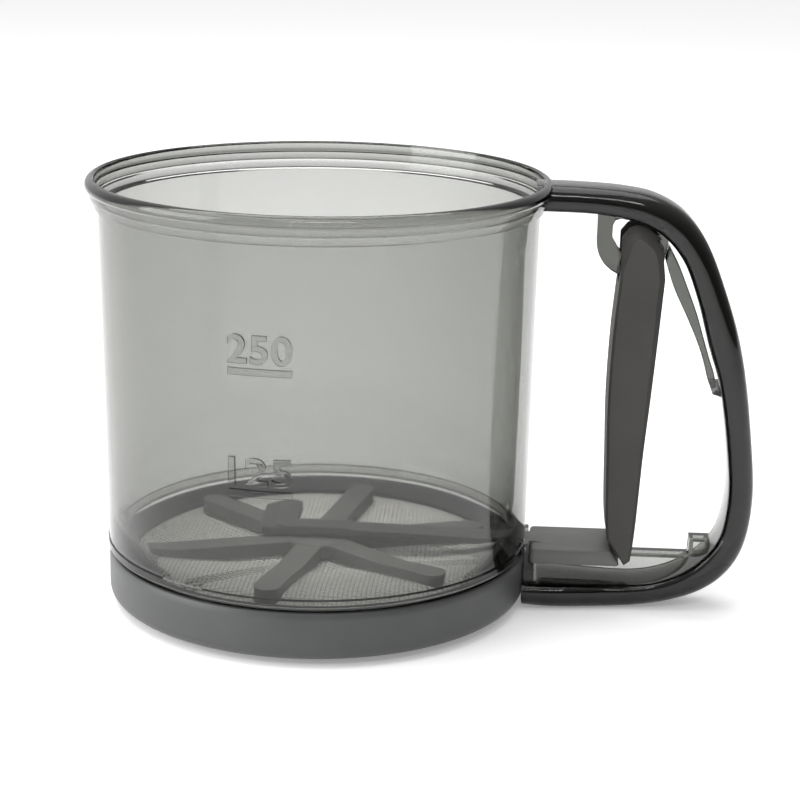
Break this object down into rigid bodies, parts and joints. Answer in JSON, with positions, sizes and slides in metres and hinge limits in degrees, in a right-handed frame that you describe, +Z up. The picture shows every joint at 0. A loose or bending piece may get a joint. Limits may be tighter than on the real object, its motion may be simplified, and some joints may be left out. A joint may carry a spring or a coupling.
{
  "type": "flour sifter",
  "caption": "Hand-held flour sifter: see-through cup with a D handle, squeeze trigger, push rod and rotating agitator over a wire sieve.",
  "frame": {"origin": "middle of the whole sifter's footprint, on the surface it stands on", "axes": "+Z up along the cup's axis, +X from the cup towards the handle"},
  "size_m": [0.1572, 0.108, 0.1017],
  "materials": {
    "smoke_plastic": "clear moulded plastic with a grey smoke tint, glossy",
    "spring_plastic": "see-through moulded plastic, glossy",
    "satin_plastic": "grey moulded plastic, satin",
    "agitator_plastic": "grey moulded plastic, satin",
    "rod_plastic": "grey moulded plastic, satin",
    "trigger_plastic": "dark grey moulded plastic with a fine matt grain",
    "steel_cloth": "woven stainless wire",
    "steel": "bright drawn steel"
  },
  "bodies": {
    "cup": {"cup_body": "smoke_plastic", "return_spring": "spring_plastic", "screen_ring": "satin_plastic", "sieve_retainer": "satin_plastic", "sieve_mesh": "steel_cloth", "centre_plate": "steel", "axle_rivet": "steel"},
    "trigger_lever": {"trigger": "trigger_plastic", "trigger_pin": "steel", "link_pin": "steel"},
    "rod": {"push_rod": "rod_plastic"},
    "rotor": {"agitator": "agitator_plastic"}
  },
  "joints": [
    {"name": "trigger_hinge", "type": "hinge", "parent": "cup", "child": "trigger_lever", "pos_m": [0.04775, 0, 0.0851], "axis": [0, -1, 0], "range_deg": [0, 11], "stiffness_Nm_per_rad": 1.2, "springref_deg": -1.15},
    {"name": "rod_slide", "type": "slide", "parent": "cup", "child": "rod", "axis": [1, 0, 0], "range_m": [0, 0.0136]},
    {"name": "agitator_spin", "type": "hinge", "parent": "cup", "child": "rotor", "pos_m": [-0.02465, 0, 0.012], "axis": [0, 0, 1], "range_deg": [-64, 0]}
  ],
  "couplings": [
    {"joint": "rod_slide", "follows": "trigger_hinge", "m_per_rad": 0.0704},
    {"joint": "agitator_spin", "follows": "trigger_hinge", "ratio": -5.77}
  ]
}
